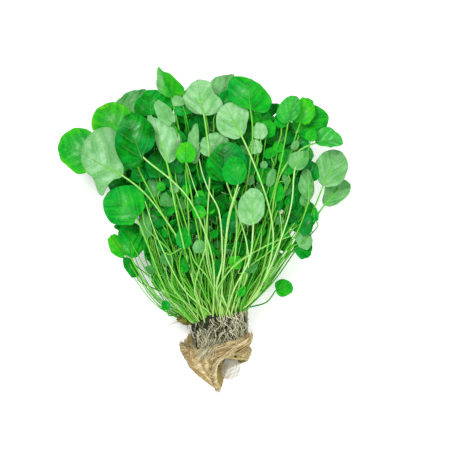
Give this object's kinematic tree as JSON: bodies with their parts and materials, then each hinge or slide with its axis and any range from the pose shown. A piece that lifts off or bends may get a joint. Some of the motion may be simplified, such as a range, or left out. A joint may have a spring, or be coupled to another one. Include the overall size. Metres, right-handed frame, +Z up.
{
  "type": "watercress bunch",
  "caption": "Live watercress lying on its side: round leaves on thin fanned stems, a block-shaped root plug and a torn fibre mat wrapped round the plug's foot.",
  "frame": {"origin": "on the table, under the middle of the whole bunch as it lies", "axes": "+Y from the roots to the leaves, +Z up from the table, +X to the right when the roots point at the viewer who looks down"},
  "size_m": [0.1889, 0.2112, 0.0712],
  "materials": {
    "leaf": "living leaf, glossy dark green above, matt pale green below, with pale veins",
    "stem": "smooth juicy stalk, pale yellow green, whiter towards the roots",
    "small_leaves": "heaped small leaves, satin green, from dark to lime",
    "thin_stems": "packed thin stalks, pale yellow green",
    "root_plug": "damp dark growing medium under a net of fine whitish roots",
    "fibre_mat": "coarse tan plant fibre, matted, with torn edges",
    "root_liner": "pale translucent crumpled lining",
    "side_roots": "brown tangled fine roots"
  },
  "bodies": {
    "root": {"root_plug": "root_plug", "fibre_mat": "fibre_mat", "root_liner": "root_liner", "side_roots": "side_roots", "thin_stems": "thin_stems", "small_leaves": "small_leaves", "leaf_01": "leaf", "leaf_02": "leaf", "leaf_03": "leaf", "leaf_04": "leaf", "leaf_05": "leaf", "leaf_06": "leaf", "leaf_07": "leaf", "leaf_08": "leaf", "leaf_09": "leaf", "leaf_10": "leaf", "leaf_11": "leaf", "leaf_12": "leaf", "leaf_13": "leaf", "leaf_14": "leaf", "leaf_15": "leaf", "leaf_16": "leaf", "leaf_17": "leaf", "leaf_18": "leaf", "leaf_19": "leaf", "leaf_20": "leaf", "leaf_21": "leaf", "leaf_22": "leaf", "leaf_23": "leaf", "leaf_24": "leaf", "leaf_25": "leaf", "leaf_26": "leaf", "leaf_27": "leaf", "stem_01": "stem", "stem_02": "stem", "stem_03": "stem", "stem_04": "stem", "stem_05": "stem", "stem_06": "stem", "stem_07": "stem", "stem_08": "stem", "stem_09": "stem", "stem_10": "stem", "stem_11": "stem", "stem_12": "stem", "stem_13": "stem", "stem_14": "stem", "stem_15": "stem", "stem_16": "stem", "stem_17": "stem", "stem_18": "stem", "stem_19": "stem", "stem_20": "stem", "stem_21": "stem", "stem_22": "stem", "stem_23": "stem", "stem_24": "stem", "stem_25": "stem", "stem_26": "stem", "stem_27": "stem"}
  },
  "joints": []
}
